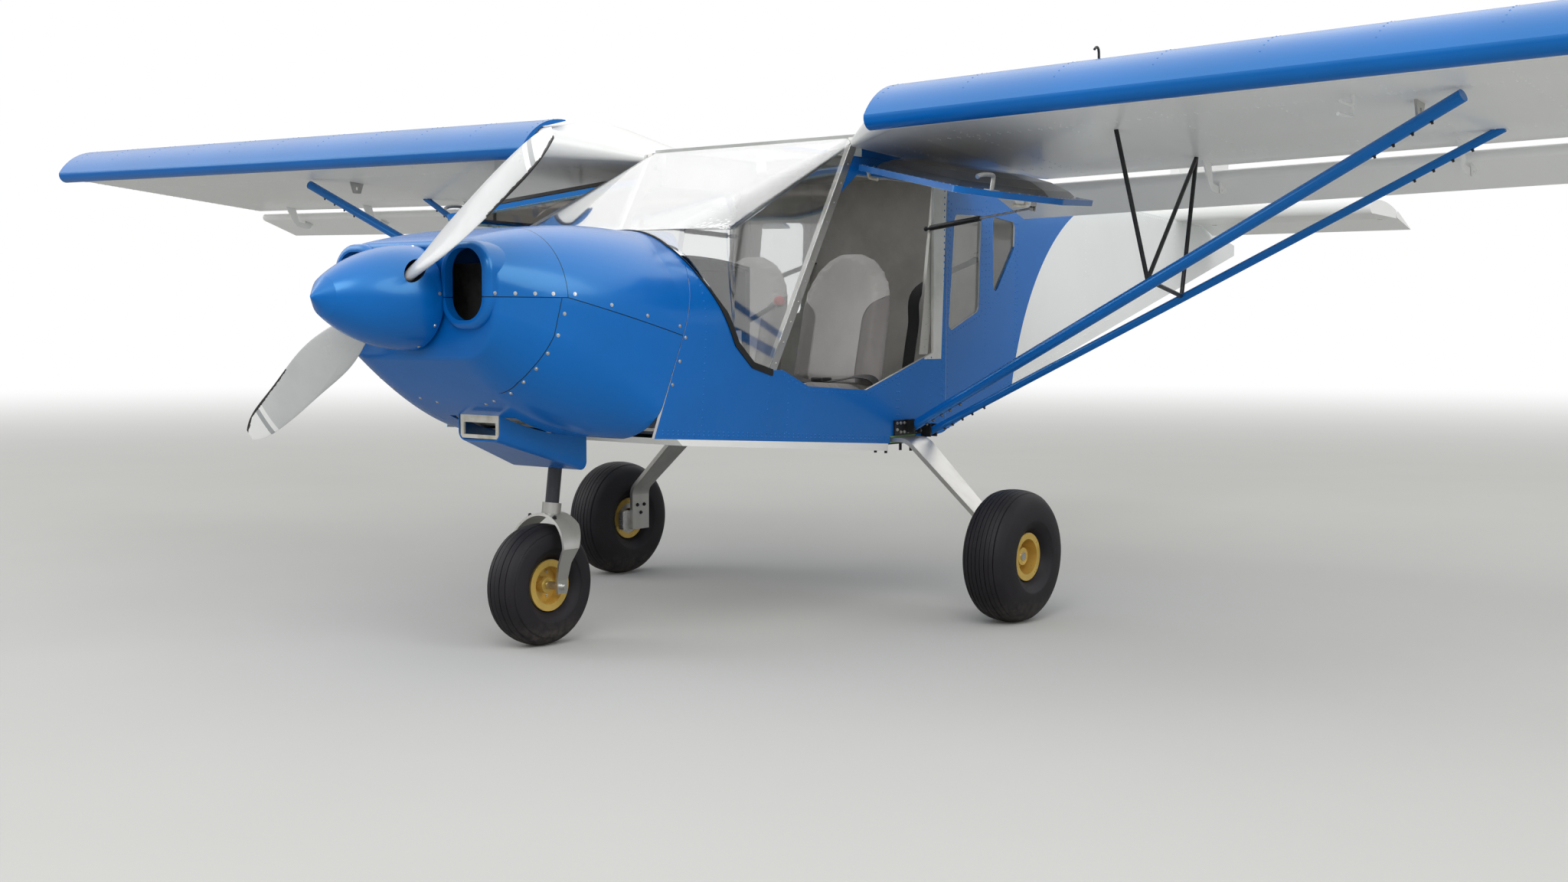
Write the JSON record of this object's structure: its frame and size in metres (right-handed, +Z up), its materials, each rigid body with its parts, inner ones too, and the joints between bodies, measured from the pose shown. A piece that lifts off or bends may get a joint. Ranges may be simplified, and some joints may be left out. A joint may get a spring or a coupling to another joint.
{
  "type": "microlight aircraft",
  "caption": "High-wing strut-braced microlight aircraft with a tractor propeller, nose wheel, full-span slats and flaperons, and upward-opening cabin doors.",
  "frame": {"origin": "on the ground under the middle of the aircraft's box, half way between the spinner's tip and the tail's end", "axes": "+X to the aircraft's left along the span, +Y aft, +Z up"},
  "size_m": [9.09, 6.65, 2.6399],
  "materials": {
    "blue_paint": "gloss",
    "white_paint": "gloss",
    "grey_paint": "satin",
    "dark_metal": "satin",
    "engine_metal": "cast",
    "bare_aluminium": "brushed",
    "gold_aluminium": "anodised",
    "steel": "brushed",
    "clear_glass": "clear acrylic",
    "smoke_glass": "smoked acrylic",
    "seal_rubber": "matt",
    "tyre_rubber": "matt",
    "blade_grey": "satin composite",
    "seat_fabric": "woven",
    "panel_black": "matt"
  },
  "bodies": {
    "airframe": {"cowl_upper": "blue_paint", "cowl_lower": "blue_paint", "boot_cowl": "blue_paint", "scoop": "blue_paint", "engine": "engine_metal", "firewall": "bare_aluminium", "cabin_side_left": "blue_paint", "cabin_side_right": "blue_paint", "cabin_floor": "bare_aluminium", "belly_pan": "white_paint", "windshield": "clear_glass", "windshield_seal": "seal_rubber", "cabin_posts": "bare_aluminium", "roof_frame": "blue_paint", "cabin_windows": "clear_glass", "rear_cabin": "blue_paint", "rear_bulkhead": "grey_paint", "tail_cone": "white_paint", "wing_left": "white_paint", "wing_right": "white_paint", "slat_left": "blue_paint", "slat_right": "blue_paint", "flaperon_brackets": "white_paint", "gear_fittings": "dark_metal", "gear_clamps": "dark_metal", "lift_struts": "blue_paint", "jury_struts": "dark_metal", "tie_downs": "bare_aluminium", "main_spring": "bare_aluminium", "main_axles": "steel", "stabiliser": "white_paint", "rudder_spindle": "steel", "seats": "seat_fabric", "instrument_panel": "panel_black", "control_column": "dark_metal"},
    "propeller": {"spinner": "blue_paint", "propeller_blades": "blade_grey", "propeller_shaft": "steel"},
    "nose_strut": {"nose_leg": "dark_metal", "nose_fork": "bare_aluminium", "nose_axle": "steel"},
    "nose_wheel": {"nose_rim": "gold_aluminium", "nose_tyre": "tyre_rubber"},
    "wheel_left": {"main_rim_left": "gold_aluminium", "main_tyre_left": "tyre_rubber"},
    "flaperon_left": {"flaperon_left": "white_paint"},
    "door_left": {"door_frame_left": "bare_aluminium", "door_glass_left": "smoke_glass"},
    "gas_cylinder_left": {"gas_cylinder_left": "dark_metal"},
    "gas_rod_left": {"gas_rod_left": "steel"},
    "wheel_right": {"main_rim_right": "gold_aluminium", "main_tyre_right": "tyre_rubber"},
    "flaperon_right": {"flaperon_right": "white_paint"},
    "door_right": {"door_frame_right": "bare_aluminium", "door_glass_right": "smoke_glass"},
    "gas_cylinder_right": {"gas_cylinder_right": "dark_metal"},
    "gas_rod_right": {"gas_rod_right": "steel"},
    "elevator": {"elevator": "white_paint"},
    "rudder": {"rudder": "white_paint"}
  },
  "joints": [
    {"name": "propeller_spin", "type": "hinge", "parent": "airframe", "child": "propeller", "pos_m": [0, -3.023, 1.228], "axis": [0, 1, 0], "continuous": true},
    {"name": "steering", "type": "hinge", "parent": "airframe", "child": "nose_strut", "pos_m": [0, -2.304, 0.478], "axis": [0, 0.1323, 0.9912], "range_deg": [-20, 20]},
    {"name": "nose_wheel_spin", "type": "hinge", "parent": "nose_strut", "child": "nose_wheel", "pos_m": [0, -2.363, 0.217], "axis": [1, 0, 0], "continuous": true},
    {"name": "elevator_hinge", "type": "hinge", "parent": "airframe", "child": "elevator", "pos_m": [0, 2.679, 1.722], "axis": [1, 0, 0], "range_deg": [0, 46]},
    {"name": "rudder_hinge", "type": "hinge", "parent": "airframe", "child": "rudder", "pos_m": [0, 2.755, 1.9], "axis": [0, 0, 1], "range_deg": [-20, 20]},
    {"name": "wheel_spin_left", "type": "hinge", "parent": "airframe", "child": "wheel_left", "pos_m": [1.052, -0.875, 0.255], "axis": [1, 0, 0], "continuous": true},
    {"name": "flaperon_hinge_left", "type": "hinge", "parent": "airframe", "child": "flaperon_left", "pos_m": [2.56, -0.321, 1.67477], "axis": [0.9998, 0, 0.0208], "range_deg": [-12, 14]},
    {"name": "door_hinge_left", "type": "hinge", "parent": "airframe", "child": "door_left", "pos_m": [0.552, -0.925, 1.742], "axis": [0, 1, 0], "range_deg": [0, 79]},
    {"name": "gas_cylinder_pivot_left", "type": "hinge", "parent": "airframe", "child": "gas_cylinder_left", "pos_m": [0.511, -0.684, 1.53], "axis": [0.1238, 0.9739, -0.1902], "range_deg": [0, 98.82]},
    {"name": "gas_rod_slide_left", "type": "slide", "parent": "gas_cylinder_left", "child": "gas_rod_left", "axis": [0.9882, -0.1036, 0.1127], "range_m": [-0.24, 0]},
    {"name": "wheel_spin_right", "type": "hinge", "parent": "airframe", "child": "wheel_right", "pos_m": [-1.052, -0.875, 0.255], "axis": [1, 0, 0], "continuous": true},
    {"name": "flaperon_hinge_right", "type": "hinge", "parent": "airframe", "child": "flaperon_right", "pos_m": [-2.56, -0.321, 1.67477], "axis": [0.9998, 0, -0.0208], "range_deg": [-12, 14]},
    {"name": "door_hinge_right", "type": "hinge", "parent": "airframe", "child": "door_right", "pos_m": [-0.552, -0.925, 1.742], "axis": [0, 1, 0], "range_deg": [-79, 0]},
    {"name": "gas_cylinder_pivot_right", "type": "hinge", "parent": "airframe", "child": "gas_cylinder_right", "pos_m": [-0.511, -0.684, 1.53], "axis": [0.1238, -0.9739, 0.1902], "range_deg": [0, 98.82]},
    {"name": "gas_rod_slide_right", "type": "slide", "parent": "gas_cylinder_right", "child": "gas_rod_right", "axis": [-0.9882, -0.1036, 0.1127], "range_m": [-0.24, 0]}
  ],
  "couplings": [
    {"joint": "gas_cylinder_pivot_left", "follows": "door_hinge_left", "ratio": 1.2445},
    {"joint": "gas_rod_slide_left", "follows": "door_hinge_left", "m_per_rad": -0.16939},
    {"joint": "gas_cylinder_pivot_right", "follows": "door_hinge_right", "ratio": -1.2445},
    {"joint": "gas_rod_slide_right", "follows": "door_hinge_right", "m_per_rad": 0.16939}
  ]
}
